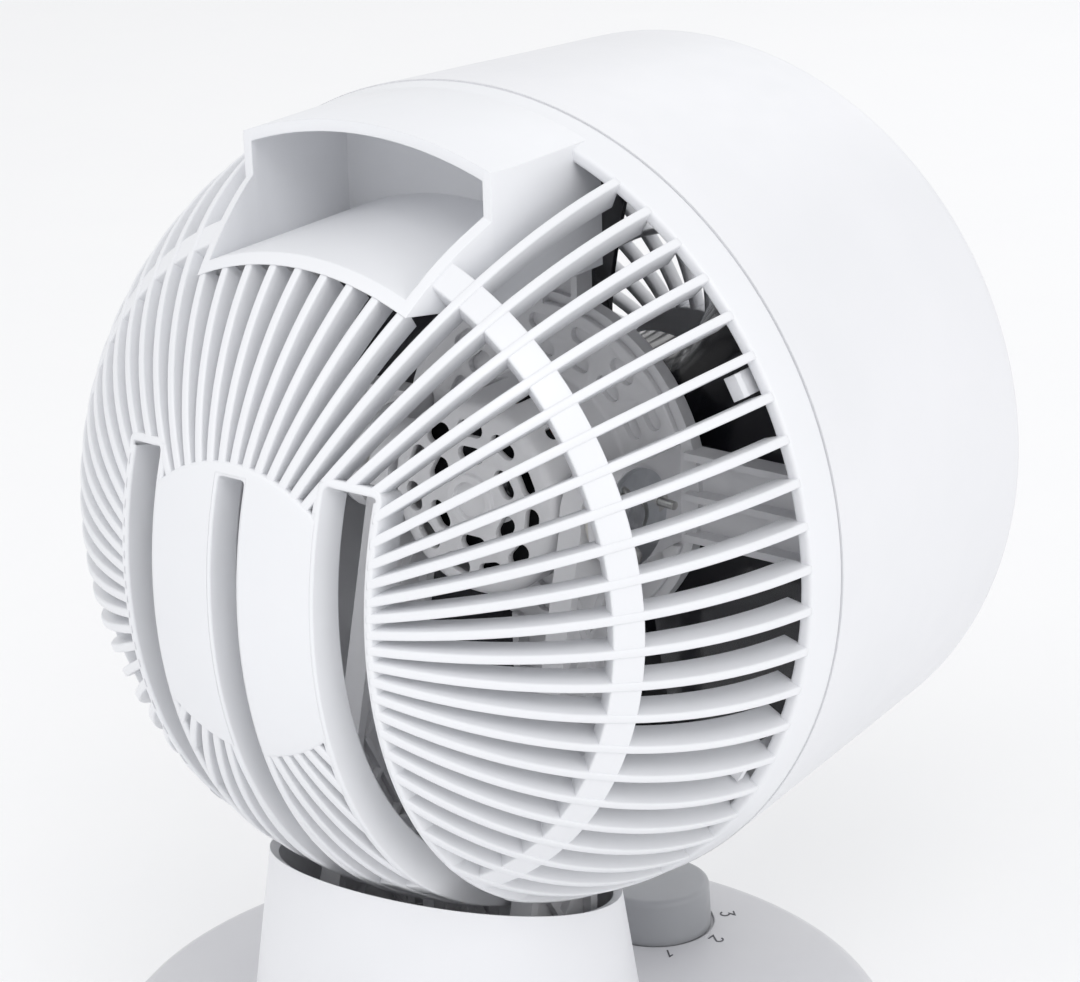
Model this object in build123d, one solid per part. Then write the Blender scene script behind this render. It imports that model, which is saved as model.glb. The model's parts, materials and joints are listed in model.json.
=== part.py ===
from build123d import *
import math
import os

# Desktop globe circulator fan. Millimetres, +Z up, air outlet facing -Y, origin at base bottom centre.
# "Head" sub-parts are modelled around the tilt pivot: x across, s (+Y) towards the rear grille, h (+Z) up.

# ---- overall ----
BASE_R = 105.0
BASE_TOP = 22.0            # flat top of the base cover
WALL = 2.5
PIVOT_Y, PIVOT_Z = -7.5, 174.0
DOME_R = 107.0             # rear grille sphere, centred on the pivot

# ---- drum ----
SEAM_S = 6.0               # where drum and rear cover meet
DRUM_FRONT_S, DRUM_FRONT_R = -86.0, 101.0
DRUM_FACE_S, OUTLET_R = -95.0, 91.0

# ---- rear cover ----
RIM_END_S = 17.5
RIBS, RIB_T, RIB_IN_R, RIB_OUT_R = 62, 2.3, 98.5, 106.8
RING_ANG = (51.2, 56.0)    # mid ring, degrees from the rear pole
RING_R = (102.8, 106.0)    # the ring lies a little under the ribs' outer edges
PANEL_ANG = 20.2
SLOT_SIDE = (25.0, 36.5)   # |x| limits of the two outer slots
SLOT_MID = 4.0
SLOT_TOP_ANG, SLOT_MID_TOP_ANG = 19.7, 18.2
BORDER_T, BORDER_IN_R = 2.2, 97.0
GRIP_X, LIP_R, LIP_S, LIP_T = 38.5, 106.2, 48.5, 3.0
FLOOR_R, FLOOR_T = 79.5, 2.5
POCKET_S = 12.0            # front wall of the finger pocket

# ---- yoke and pivot ----
ARM_X = (27.5, 34.0)
PIN_R, PIN_FIT = 4.0, 0.05
NECK_Y = 22.2
NECK_LOW, NECK_HIGH = (22.0, 53.3), (90.0, 43.7)   # (z, outer radius)
NECK_GAP_R = 110.5         # neck rim is cut by this sphere about the pivot

# ---- motor and propeller ----
FRAME_S = (-25.0, -21.0)
CUP_R, CUP_END_S = 26.0, 12.0
BLADES, PROP_R, HUB_R = 5, 95.0, 22.0
SHAFT_R = 4.0

# ---- knob ----
KNOB_Y, KNOB_R, KNOB_TOP = -73.0, 15.6, 35.0
DIGIT_R = 20.6

os.makedirs("parts", exist_ok=True)


def save(shape, name):
    shape.label = name
    export_step(shape, f"parts/{name}.step")


def head(shape):
    return Pos(0, PIVOT_Y, PIVOT_Z) * shape


def spin(points):
    """Solid of revolution about the Y axis from (radius, s) points."""
    return revolve(make_face(Polyline(*points, close=True)), Axis.Y, 360)


def turned(points, x=0, y=0):
    """Solid of revolution about a vertical axis at (x, y) from (radius, z) points."""
    face = make_face(Polyline(*[(r, 0, z) for r, z in points], close=True))
    return Pos(x, y, 0) * revolve(face, Axis.Z, 360)


def rod_y(r, s0, s1, x=0, h=0):
    return Pos(x, (s0 + s1) / 2, h) * Rot(90, 0, 0) * Cylinder(r, s1 - s0)


def rod_x(r, x0, x1, s=0, h=0):
    return Pos((x0 + x1) / 2, s, h) * Rot(0, 90, 0) * Cylinder(r, x1 - x0)


def rod_z(r, z0, z1, x=0, y=0):
    return Pos(x, y, (z0 + z1) / 2) * Cylinder(r, z1 - z0)


def block(x0, x1, y0, y1, z0, z1):
    return Pos((x0 + x1) / 2, (y0 + y1) / 2, (z0 + z1) / 2) * Box(x1 - x0, y1 - y0, z1 - z0)


def plate_x(points, x0, x1):
    """Flat plate lying in the (s, h) plane between two x positions."""
    face = Plane.YZ * make_face(Polyline(*points, close=True))
    return Pos(x0, 0, 0) * extrude(face, x1 - x0, dir=(1, 0, 0))


def shell(r_in, r_out):
    return Sphere(r_out) - Sphere(r_in)


def on_sphere(r, deg):
    """(radius from axis, s) of a point on a sphere of radius r at an angle from the rear pole."""
    return r * math.sin(math.radians(deg)), r * math.cos(math.radians(deg))


def sector(r_in, r_out, deg0, deg1):
    """Half-plane face between two arcs and two angles from the rear pole, in (radius, s)."""
    mid = (deg0 + deg1) / 2
    a, b = on_sphere(r_out, deg0), on_sphere(r_out, deg1)
    c, d = on_sphere(r_in, deg1), on_sphere(r_in, deg0)
    lines = [
        ThreePointArc(a, on_sphere(r_out, mid), b),
        Line(b, c),
        ThreePointArc(c, on_sphere(r_in, mid), d),
        Line(d, a),
    ]
    return make_face(lines)


# ================= base =================
def base_cover():
    outer = turned([(0, 3), (BASE_R, 3), (BASE_R, BASE_TOP), (0, BASE_TOP)])
    outer = fillet(outer.edges().group_by(Axis.Z)[-1], 4.0)
    inner = turned([(0, 2), (BASE_R - WALL, 2), (BASE_R - WALL, BASE_TOP - 4.5),
                    (BASE_R - 5, BASE_TOP - WALL), (0, BASE_TOP - WALL)])
    cover = outer - inner
    cover -= rod_z(50.8, 10, 30, 0, NECK_Y)
    cover -= rod_z(KNOB_R + 0.9, BASE_TOP - 1.1, 30, 0, KNOB_Y)
    cover -= rod_z(5.2, 10, 30, 0, KNOB_Y)
    cover -= rod_y(5.1, 90, 110, 0, 11.6)
    for a in range(45, 360, 90):
        x, y = 92 * math.cos(math.radians(a)), 92 * math.sin(math.radians(a))
        cover += rod_z(4.2, 6.2, BASE_TOP - WALL + 0.2, x, y) - rod_z(1.3, 5, 16, x, y)
    return cover


def base_bottom_plate():
    plate = rod_z(BASE_R - WALL - 0.4, 3.2, 6.0)
    for a in range(45, 360, 90):
        x, y = 92 * math.cos(math.radians(a)), 92 * math.sin(math.radians(a))
        plate -= rod_z(1.9, 0, 10, x, y) + rod_z(3.6, 0, 4.4, x, y)
        x, y = 76 * math.cos(math.radians(a)), 76 * math.sin(math.radians(a))
        plate -= rod_z(8.2, 0, 4.0, x, y)
    for a in range(0, 360, 90):
        x, y = 33 * math.cos(math.radians(a)), NECK_Y + 33 * math.sin(math.radians(a))
        plate -= rod_z(1.9, 0, 10, x, y) + rod_z(3.6, 0, 4.4, x, y)
    return plate


def rubber_feet():
    feet = []
    for a in range(45, 360, 90):
        x, y = 76 * math.cos(math.radians(a)), 76 * math.sin(math.radians(a))
        foot = rod_z(8.0, 0, 4.0, x, y)
        feet.append(chamfer(foot.edges().group_by(Axis.Z)[0], 0.8))
    return Compound(children=feet)


def base_screws():
    screws = []
    spots = [(92 * math.cos(math.radians(a)), 92 * math.sin(math.radians(a))) for a in range(45, 360, 90)]
    spots += [(33 * math.cos(math.radians(a)), NECK_Y + 33 * math.sin(math.radians(a)))
              for a in range(0, 360, 90)]
    for x, y in spots:
        screw = rod_z(3.3, 3.4, 4.3, x, y) + rod_z(1.2, 4.3, 13.5, x, y)
        screw -= block(x - 2.2, x + 2.2, y - 0.4, y + 0.4, 3.2, 3.8)
        screw -= block(x - 0.4, x + 0.4, y - 2.2, y + 2.2, 3.2, 3.8)
        screws.append(screw)
    return Compound(children=screws)


def ballast_plate():
    disc = rod_z(81, 6.3, 12.3)
    disc -= rod_z(43, 0, 20, 0, NECK_Y)
    disc -= block(-22, 22, -100, -50, 0, 20)
    disc -= block(52, 100, -26, 26, 0, 20)
    return disc


def rotary_switch():
    body = block(-12, 12, KNOB_Y - 12, KNOB_Y + 12, 7.0, 17.0)
    body = fillet(body.edges().filter_by(Axis.Z), 2.0)
    body += rod_z(5.0, 17.0, 21.6, 0, KNOB_Y)
    body += rod_z(8.0, 17.0, 19.0, 0, KNOB_Y)
    for i in range(-2, 3):
        body += block(i * 4.4 - 1.2, i * 4.4 + 1.2, KNOB_Y + 12, KNOB_Y + 17, 8.6, 9.2)
    return body - rod_z(3.05, 12.0, 30, 0, KNOB_Y)


def switch_nut():
    nut = Pos(0, KNOB_Y, 21.5) * extrude(RegularPolygon(7.2, 6), 1.6)
    return nut - rod_z(5.05, 18, 30, 0, KNOB_Y)


def run_capacitor():
    can = block(58, 92, -10, 10, 6.6, 17.6)
    return fillet(can.edges().filter_by(Axis.Z), 2.5)


def terminal_block():
    strip = block(-16, 16, 83, 93, 6.4, 8.4)
    for i in range(4):
        strip += block(-14 + i * 7.6, -8.6 + i * 7.6, 84, 92, 8.4, 15.0)
    for i in range(4):
        strip -= rod_z(1.5, 11.5, 16, -11.3 + i * 7.6, 88)
    return strip


def cord_gland():
    ring = rod_y(6.4, 99.4, 102.0, 0, 11.6) + rod_y(5.0, 99.4, 104.4, 0, 11.6)
    ring &= block(-9, 9, 90, 110, 6.2, 18.4)
    return ring - rod_y(3.0, 90, 110, 0, 11.6)


# ----- dial digits: strokes drawn in a 2.6 x 4 mm cell, foot of the digit towards the knob -----
def digit(n):
    w, t = 1.15, 0.42
    if n == 0:
        path = Ellipse(w + t / 2, 1.9 + t / 2) - Ellipse(w - t / 2, 1.9 - t / 2)
        return path
    if n == 1:
        path = Line((0.2, -1.9), (0.2, 1.9)) + Line((0.2, 1.9), (-0.8, 1.0))
    if n == 2:
        path = ThreePointArc((-w, 0.9), (0.1, 2.0), (w, 0.8)) + Polyline((w, 0.8), (-w, -1.9), (w, -1.9))
    if n == 3:
        path = Polyline((-w, 1.9), (w, 1.9), (-0.1, 0.5)) + ThreePointArc((-0.1, 0.5), (w, -0.7), (-w, -1.4))
    return trace(path, t)


def dial_digits():
    marks = []
    for n, angle in ((0, 270), (3, 225), (2, 180), (1, 135)):
        flat = Rot(0, 0, angle - 90) * Pos(0, DIGIT_R, 0) * digit(n)
        marks += list(extrude(Pos(0, KNOB_Y, BASE_TOP) * flat, 0.15).solids())
    return Compound(children=marks)


# ================= knob =================
def speed_knob():
    r = KNOB_R
    knob = turned([(0, 21.4), (r, 21.4), (r - 0.4, KNOB_TOP - 1.6), (r - 1.9, KNOB_TOP), (0, KNOB_TOP)],
                  0, KNOB_Y)
    knob -= rod_z(12.8, 20, 24.6, 0, KNOB_Y)
    knob -= rod_z(9.0, 20, 26.0, 0, KNOB_Y)
    knob -= rod_z(3.03, 20, 32.5, 0, KNOB_Y)
    knob -= block(-0.75, 0.75, KNOB_Y - 13.1, KNOB_Y - 7.5, KNOB_TOP - 0.6, KNOB_TOP + 1)
    return knob


def knob_pointer():
    return block(-0.7, 0.7, KNOB_Y - 13.0, KNOB_Y - 7.6, KNOB_TOP - 0.6, KNOB_TOP)


def switch_shaft():
    shaft = rod_z(3.0, 12.5, 32.3, 0, KNOB_Y)
    return shaft - block(1.6, 5, KNOB_Y - 5, KNOB_Y + 5, 27.0, 34)


# ================= neck and yoke =================
def neck_radius(z, inset=0.0):
    (z0, r0), (z1, r1) = NECK_LOW, NECK_HIGH
    return r0 + (r1 - r0) * (z - z0) / (z1 - z0) - inset


def neck_shell():
    low, high = BASE_TOP, 100.0
    outer = turned([(0, low), (neck_radius(low), low), (neck_radius(high), high), (0, high)], 0, NECK_Y)
    inner = turned([(0, low - 2), (neck_radius(low - 2, WALL), low - 2),
                    (neck_radius(high + 2, WALL), high + 2), (0, high + 2)], 0, NECK_Y)
    neck = outer - inner
    spigot = rod_z(50.4, 18.0, 22.2, 0, NECK_Y) + rod_z(52.0, 22.0, 23.6, 0, NECK_Y)
    neck += spigot - rod_z(48.2, 17, 24, 0, NECK_Y)
    return neck - head(Rot(90, 0, 0) * Sphere(NECK_GAP_R))


def yoke_turret():
    tube = rod_z(40, 6.2, 48, 0, NECK_Y) - rod_z(36, 12.0, 44, 0, NECK_Y) - rod_z(22, 6, 14, 0, NECK_Y)
    tube -= rod_z(14, 40, 50, 0, NECK_Y)
    for a in range(0, 360, 90):
        x, y = 33 * math.cos(math.radians(a)), NECK_Y + 33 * math.sin(math.radians(a))
        tube -= rod_z(1.25, 5, 14, x, y)
    for side in (-1, 1):
        for s in (14, 34):
            tube -= rod_z(1.25, 40, 50, side * 22.5, PIVOT_Y + s)
    return tube


def arm_outline():
    return [(-11.5, -3.5), (8.5, -96), (8.5, -126), (39.5, -126), (39.5, -106), (37.0, -98.5), (11.9, -1.5)]


def yoke_arm(side):
    """Arm plate: thin web with a raised rim and crossed stiffening ribs on both faces."""
    x0, x1 = ARM_X
    full = plate_x(arm_outline(), x0, x1) + rod_x(12.0, x0, x1)
    pocket = plate_x([(-5.5, -16), (11.3, -97), (11.3, -122), (36.7, -122), (36.7, -106.5), (34.2, -99),
                      (12.6, -16)], x0 - 1, x1 + 1)
    web = plate_x(arm_outline(), 30.0, 31.5)
    ribs = []
    steps = [(-1.5, 13.0, -20), (3.6, 18.6, -44), (8.6, 24.6, -68), (11.3, 30.6, -92), (11.3, 36.7, -122)]
    for (a0, b0, h0), (a1, b1, h1) in zip(steps, steps[1:]):
        for p, q in (((a0, h0), (b1, h1)), ((b0, h0), (a1, h1))):
            length = math.hypot(q[0] - p[0], q[1] - p[1])
            tilt = math.degrees(math.atan2(q[1] - p[1], q[0] - p[0]))
            mid = ((p[0] + q[0]) / 2, (p[1] + q[1]) / 2)
            ribs.append(Pos(30.75, *mid) * Rot(tilt, 0, 0) * Box(x1 - x0 - 0.8, length, 1.6))
    arm = full - pocket + web + [r & pocket for r in ribs]
    arm += block(19.0, x0 + 0.5, 10, 38, -126, -122)
    for s in (14, 34):
        arm -= rod_z(1.7, -130, -120, 22.5, s)
    arm -= rod_x(PIN_R, 20, 40)
    return head(arm if side > 0 else mirror(arm, Plane.YZ))


def yoke_centre_plate():
    """Curved guide fin that rides in the middle slot."""
    fin = plate_x([(9.0, -88), (9.0, -126), (36.0, -126), (36.0, -100), (29.5, -84), (16.0, -86)], -1.8, 1.8)
    fin -= plate_x([(13.0, -94), (13.0, -119), (31.5, -119), (31.5, -102), (27.5, -92)], -3, 3)
    fin += plate_x([(12.0, -92.5), (14.4, -92), (33.5, -118), (32.0, -120)], -1.4, 1.4)
    fin += plate_x([(28.0, -91), (30.0, -93), (14.0, -120), (12.0, -118.5)], -1.4, 1.4)
    fin += block(-9, 9, 15.5, 36.0, -126, -123)
    return head(fin)


def yoke_screws():
    screws = []
    for side in (-1, 1):
        for s in (14, 34):
            x, y = side * 22.5, PIVOT_Y + s
            screw = rod_z(3.2, 52.05, 54.0, x, y) + rod_z(1.2, 41.0, 52.1, x, y)
            screw -= block(x - 2.1, x + 2.1, y - 0.4, y + 0.4, 53.2, 55)
            screw -= block(x - 0.4, x + 0.4, y - 2.1, y + 2.1, 53.2, 55)
            screws.append(screw)
    return Compound(children=screws)


def pivot_pins():
    pins = []
    for side in (-1, 1):
        a, b = sorted((side * (ARM_X[0] + 0.1), side * 42.3))
        pins.append(head(rod_x(PIN_R, a, b)))
    return Compound(children=pins)


def friction_washers():
    rings = []
    for side in (-1, 1):
        a, b = sorted((side * ARM_X[1], side * 35.2))
        rings.append(head(rod_x(10.0, a, b) - rod_x(PIN_R, a - 1, b + 1)))
    return Compound(children=rings)


# ================= head: drum =================
def tab_angles():
    step = 360 / RIBS
    return [90 + k * step for k in (10.5, 20.5, -10.5, -20.5)]


def drum_shell():
    f = 0.70710678
    rc, sc, rr = 92.0, -86.0, 9.0
    outer = [
        Line((104.4, SEAM_S), (DOME_R, SEAM_S)),
        Line((DOME_R, SEAM_S), (DRUM_FRONT_R, DRUM_FRONT_S)),
        ThreePointArc((DRUM_FRONT_R, DRUM_FRONT_S), (rc + rr * f, sc - rr * f), (rc, DRUM_FACE_S)),
        Line((rc, DRUM_FACE_S), (OUTLET_R, DRUM_FACE_S)),
        Line((OUTLET_R, DRUM_FACE_S), (OUTLET_R, -92.8)),
        Line((OUTLET_R, -92.8), (94.0, -92.8)),
        Line((94.0, -92.8), (98.4, -86.0)),
        Line((98.4, -86.0), (104.4, SEAM_S)),
    ]
    drum = revolve(make_face(outer), Axis.Y, 360)
    pad = block(-13, 13, -31, FRAME_S[0], 91.5, 103.2)
    for k in range(4):
        drum += Rot(0, 90 * k, 0) * pad
    tab = block(98.2, 100.4, -10, 22.5, -3.0, 3.0) + block(98.2, 101.6, 20.2, 22.5, -3.0, 3.0)
    tab += block(98.2, 104.6, -10, -4, -3.0, 3.0)
    for a in tab_angles():
        drum += Rot(0, -a, 0) * tab
    for k in range(4):
        drum -= Rot(0, 90 * k, 0) * rod_y(1.25, -32, -20, 0, 94.5)
    return head(drum)


# ================= head: rear cover =================
def slot_cutter(x0, x1, top_deg, grow=0.0):
    """Everything a slot removes, from its rounded top end round the dome and out through the rim."""
    c, s = math.cos(math.radians(top_deg)), math.sin(math.radians(top_deg))
    dx, dz = -s * grow, c * grow
    pts = [(85 * c + dx, 85 * s + dz), (140 * c + dx, 140 * s + dz), (150, -150), (0, -150), (0, -85),
           (60, -60)]
    return plate_x(pts, x0 - grow, x1 + grow)


def slot_list():
    a, b = SLOT_SIDE
    return [(a, b, SLOT_TOP_ANG), (-b, -a, SLOT_TOP_ANG), (-SLOT_MID, SLOT_MID, SLOT_MID_TOP_ANG)]


def grip_block():
    """Handle hood: lip, side cheeks and floor, before the finger pocket is cut."""
    hood = rod_y(LIP_R, SEAM_S + 0.3, LIP_S) + (Sphere(DOME_R) & block(-60, 60, LIP_S - 1, 110, 0, 110))
    core = rod_y(FLOOR_R - FLOOR_T, 0, 110)
    plan = [(-GRIP_X, SEAM_S + 0.3), (-GRIP_X, 46), (-GRIP_X + 8, 80), (GRIP_X - 8, 80), (GRIP_X, 46),
            (GRIP_X, SEAM_S + 0.3)]
    column = Pos(0, 0, 40) * extrude(make_face(Polyline(*plan, close=True)), 80)
    return (hood - core) & column


def finger_pocket():
    plan = [(-36, POCKET_S), (-36, 46), (-28, 80), (28, 80), (36, 46), (36, POCKET_S)]
    column = extrude(make_face(Polyline(*plan, close=True)), 140)
    under_lip = rod_y(LIP_R - LIP_T, POCKET_S, LIP_S) + rod_y(140, LIP_S, 110)
    return (column & under_lip) - rod_y(FLOOR_R, 0, 120)


def rear_cover():
    rim_out = math.sqrt(DOME_R ** 2 - RIM_END_S ** 2)
    rim = spin([(104.0, SEAM_S + 0.3), (DOME_R - 0.15, SEAM_S + 0.3), (rim_out, RIM_END_S), (102.2, RIM_END_S),
                (101.8, 0.0), (104.0, 0.0)])
    ring = revolve(sector(*RING_R, *RING_ANG), Axis.Y, 360)
    cap_r, cap_s = on_sphere(DOME_R, PANEL_ANG)
    panel = shell(DOME_R - 3.2, DOME_R) & rod_y(cap_r, cap_s - 12, 120)
    blade = extrude(sector(RIB_IN_R, RIB_OUT_R, PANEL_ANG - 2.2, 81.2), RIB_T / 2, both=True)
    ribs = []
    for k in range(RIBS):
        a = math.radians(90 + k * 360 / RIBS)
        rib = Rot(0, -math.degrees(a), 0) * blade
        if math.sin(a) > 0 and abs(math.cos(a)) * 95 < GRIP_X:
            rib &= rod_y(FLOOR_R - 1.0, 0, 120)
        ribs.append(rib)
    skin = shell(BORDER_IN_R, DOME_R) & block(-60, 60, SEAM_S + 2, 120, -120, 60)
    borders = [slot_cutter(x0, x1, top, BORDER_T) & skin for x0, x1, top in slot_list()]
    cover = rim.fuse(ring, panel, grip_block(), *borders, *ribs)
    for x0, x1, top in slot_list():
        cover -= slot_cutter(x0, x1, top)
    cover -= finger_pocket()
    return head(cover)


# ================= head: front =================
def front_grille():
    outline = Circle(93.4) - Circle(88.0)
    for r in (46.0, 67.5):
        outline += Circle(r + 0.9) - Circle(r - 0.9)
    outline += Circle(24.5)
    vane_path = ThreePointArc((23.5, 0), (56.0, 15.5), (88.6 * math.cos(0.52), 88.6 * math.sin(0.52)))
    vane = trace(vane_path, 1.7)
    for k in range(32):
        outline += Rot(0, 0, k * 360 / 32) * vane
    grille = extrude(outline, 5.6)
    return head(Pos(0, -92.7, 0) * Rot(-90, 0, 0) * grille)


def front_cap():
    arc = ThreePointArc((0, -96.9), (15, -96.4), (25.0, -93.9))
    profile = make_face([arc, Line((25.0, -93.9), (25.0, -92.8)), Line((25.0, -92.8), (0, -92.8)),
                         Line((0, -92.8), (0, -96.9))])
    return head(revolve(profile, Axis.Y, 360))


# ================= head: motor =================
def motor_frame():
    s0, s1 = FRAME_S
    frame = rod_y(47, s0, s1)
    for k in range(4):
        stay = block(-12, 12, s0, s0 + 2.2, 40, 99.0)
        for x in (-11.0, 0.0, 11.0):
            stay += block(x - 1.0, x + 1.0, s0, s1 + 2.5, 44, 99.0)
        frame += Rot(0, 90 * k, 0) * stay
    for side in (-1, 1):
        a, b = sorted((side * 37.0, side * 41.5))
        frame += rod_x(13, a, b) + block(a, b, s1 - 1, 0, -13, 13)
    frame -= rod_y(25.2, -40, -10)
    for side in (-1, 1):
        a, b = sorted((side * 30, side * 50))
        frame -= rod_x(6.5, a, b)
        for ang in (50, 170, 290):
            s, h = 9.6 * math.cos(math.radians(ang)), 9.6 * math.sin(math.radians(ang))
            frame -= rod_x(1.25, a, b, s, h)
    for k in range(4):
        frame -= Rot(0, 90 * k, 0) * rod_y(1.7, -30, -10, 0, 94.5)
        frame -= Rot(0, 90 * k, 0) * rod_y(4.2, s0 + 2.2, -10, 0, 94.5)
    return head(frame)


def motor_rear_cover():
    """Perforated cup over the motor with a slotted flange around it."""
    s1 = FRAME_S[1]
    cup = rod_y(CUP_R, s1, CUP_END_S) - rod_y(CUP_R - 2, s1 - 1, CUP_END_S - 2)
    cup = cup + (rod_y(44.5, s1, s1 + 2) - rod_y(CUP_R - 2, s1 - 1, s1 + 3))
    for side in (-1, 1):
        a, b = sorted((side * 36.5, side * 50))
        cup -= block(a, b, -25, -10, -14, 14)
    face_s = CUP_END_S - 4
    cuts = []
    for r, n, w in ((12.0, 6, 8.6), (19.0, 11, 7.6)):
        for k in range(n):
            pill = extrude(SlotOverall(w, 4.4), 6)
            cuts.append(Rot(0, k * 360 / n, 0) * Pos(0, face_s, r) * Rot(-90, 0, 0) * pill)
    for k in range(18):
        if min(abs(k * 20 - c) for c in (90, 270)) > 25:
            pill = extrude(SlotOverall(9.5, 3.6), 6)
            for r in (32.0, 39.0):
                cuts.append(Rot(0, k * 20, 0) * Pos(0, s1 - 2, r) * Rot(-90, 0, 0) * pill)
    for k in range(12):
        cuts.append(Rot(0, 15 + k * 30, 0) * block(-1.8, 1.8, -12, 4, CUP_R - 4, CUP_R + 2))
    for cut in cuts:
        cup -= cut
    cup += rod_y(7.0, CUP_END_S - 2, CUP_END_S + 1.5)
    cup -= rod_y(5.0, CUP_END_S, CUP_END_S + 3)
    return head(cup)


def motor_stator():
    core = rod_y(23.0, -33, -6) - rod_y(13.6, -40, 0)
    for k in range(8):
        core -= Rot(0, k * 45, 0) * rod_y(2.6, -40, 0, 0, 18.0)
    return head(core)


def motor_windings():
    coils = []
    for s0, s1 in ((-37.5, -33.2), (-5.8, -1.5)):
        ring = rod_y(22.0, s0, s1) - rod_y(14.5, s0 - 1, s1 + 1)
        coils.append(fillet(ring.edges().filter_by(GeomType.CIRCLE), 1.6))
    return head(Compound(children=coils))


def motor_end_bells():
    front = rod_y(24.6, -41.5, -38.2) - rod_y(9.05, -50, -30)
    front += rod_y(24.6, -38.3, -25.3) - rod_y(23.05, -39, -20)
    rear = rod_y(23.6, -0.8, 2.6) - rod_y(9.05, -2, 4)
    return head(Compound(children=[front, rear]))


def bearings():
    rings = [rod_y(9.0, s0, s1) - rod_y(SHAFT_R + PIN_FIT, s0 - 1, s1 + 1)
             for s0, s1 in ((-42.0, -37.8), (-1.2, 3.0))]
    return head(Compound(children=rings))


def frame_screws():
    screws = []
    for k in range(4):
        s0 = FRAME_S[0] + 2.2
        screw = rod_y(3.4, s0, s0 + 2.0, 0, 94.5) + rod_y(1.2, s0 - 9.5, s0, 0, 94.5)
        screw -= block(-2.2, 2.2, s0 + 1.2, s0 + 3, 94.1, 94.9) + block(-0.4, 0.4, s0 + 1.2, s0 + 3, 92.3, 96.7)
        screws.append(head(Rot(0, 90 * k, 0) * screw))
    return Compound(children=screws)


def pivot_bushes():
    bushes = []
    for side in (-1, 1):
        a, b = sorted((side * 36.9, side * 41.4))
        c, d = sorted((side * 35.6, side * 36.9))
        bush = rod_x(6.4, a, b) + rod_x(9.0, c, d)
        bushes.append(head(bush - rod_x(PIN_R + PIN_FIT, -60, 60)))
    return Compound(children=bushes)


def pivot_retainers():
    plates = []
    for side in (-1, 1):
        a, b = sorted((side * 41.6, side * 43.0))
        plate = rod_x(12.6, a, b) - rod_x(PIN_R + 0.8, a - 1, b + 1)
        for ang in (50, 170, 290):
            s, h = 9.6 * math.cos(math.radians(ang)), 9.6 * math.sin(math.radians(ang))
            plate -= rod_x(1.4, a - 1, b + 1, s, h)
        plates.append(head(plate))
    return Compound(children=plates)


def pivot_screws():
    screws = []
    for side in (-1, 1):
        for ang in (50, 170, 290):
            s, h = 9.6 * math.cos(math.radians(ang)), 9.6 * math.sin(math.radians(ang))
            a, b = sorted((side * 43.05, side * 45.2))
            c, d = sorted((side * 37.5, side * 43.1))
            screw = rod_x(2.9, a, b, s, h) + rod_x(1.15, c, d, s, h)
            e, f = sorted((side * 44.4, side * 46))
            screw -= block(e, f, s - 2.0, s + 2.0, h - 0.35, h + 0.35)
            screw -= block(e, f, s - 0.35, s + 0.35, h - 2.0, h + 2.0)
            screws.append(head(screw))
    return Compound(children=screws)


# ================= propeller =================
def blade_section(radius, chord, pitch, camber, thick):
    """Thin cambered section on the plane x = radius, chord turned away from the rotation plane."""
    n, top, low = 6, [], []
    c, s = math.cos(math.radians(pitch)), math.sin(math.radians(pitch))
    for i in range(n + 1):
        u = i / n - 0.5
        bow = camber * (1 - 4 * u * u)
        half = thick / 2 * (1 - 0.55 * abs(2 * u))
        for side, row in ((1, top), (-1, low)):
            a, b = u * chord, bow + side * half
            row.append((-57 + a * s + b * c, a * c - b * s))
    top_line = Spline(*top)
    low_line = Spline(*low[::-1])
    face = make_face([top_line, Line(top[-1], low[-1]), low_line, Line(low[0], top[0])])
    return Pos(radius, 0, 0) * (Plane.YZ * face)


def propeller():
    sections = [blade_section(16, 26, 50, 3.0, 3.4), blade_section(45, 64, 38, 5.0, 2.6),
                blade_section(72, 102, 28, 6.0, 2.2), blade_section(97, 128, 22, 6.0, 1.8)]
    blade = loft([Sketch(x.wrapped) for x in sections]) & rod_y(PROP_R, -90, -30)
    hub = rod_y(HUB_R, -72, -46) - rod_y(HUB_R - 2.5, -69, -40)
    hub += rod_y(8.0, -70, -48)
    hub -= rod_y(SHAFT_R + 0.02, -66, -30)
    blade -= rod_y(HUB_R - 1.5, -90, -30)
    for k in range(BLADES):
        hub += Rot(0, k * 360 / BLADES, 0) * blade
    return head(hub)


def spinner_nut():
    nut = turned([(0, 0), (9.5, 0), (9.5, 5), (6, 10), (0, 11)])
    return head(Pos(0, -72.1, 0) * Rot(90, 0, 0) * nut)


def motor_shaft():
    return head(rod_y(SHAFT_R, -65.9, 4.5))


def motor_rotor():
    return head(rod_y(13.0, -32, -7) - rod_y(SHAFT_R + 0.02, -40, 0))


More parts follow.
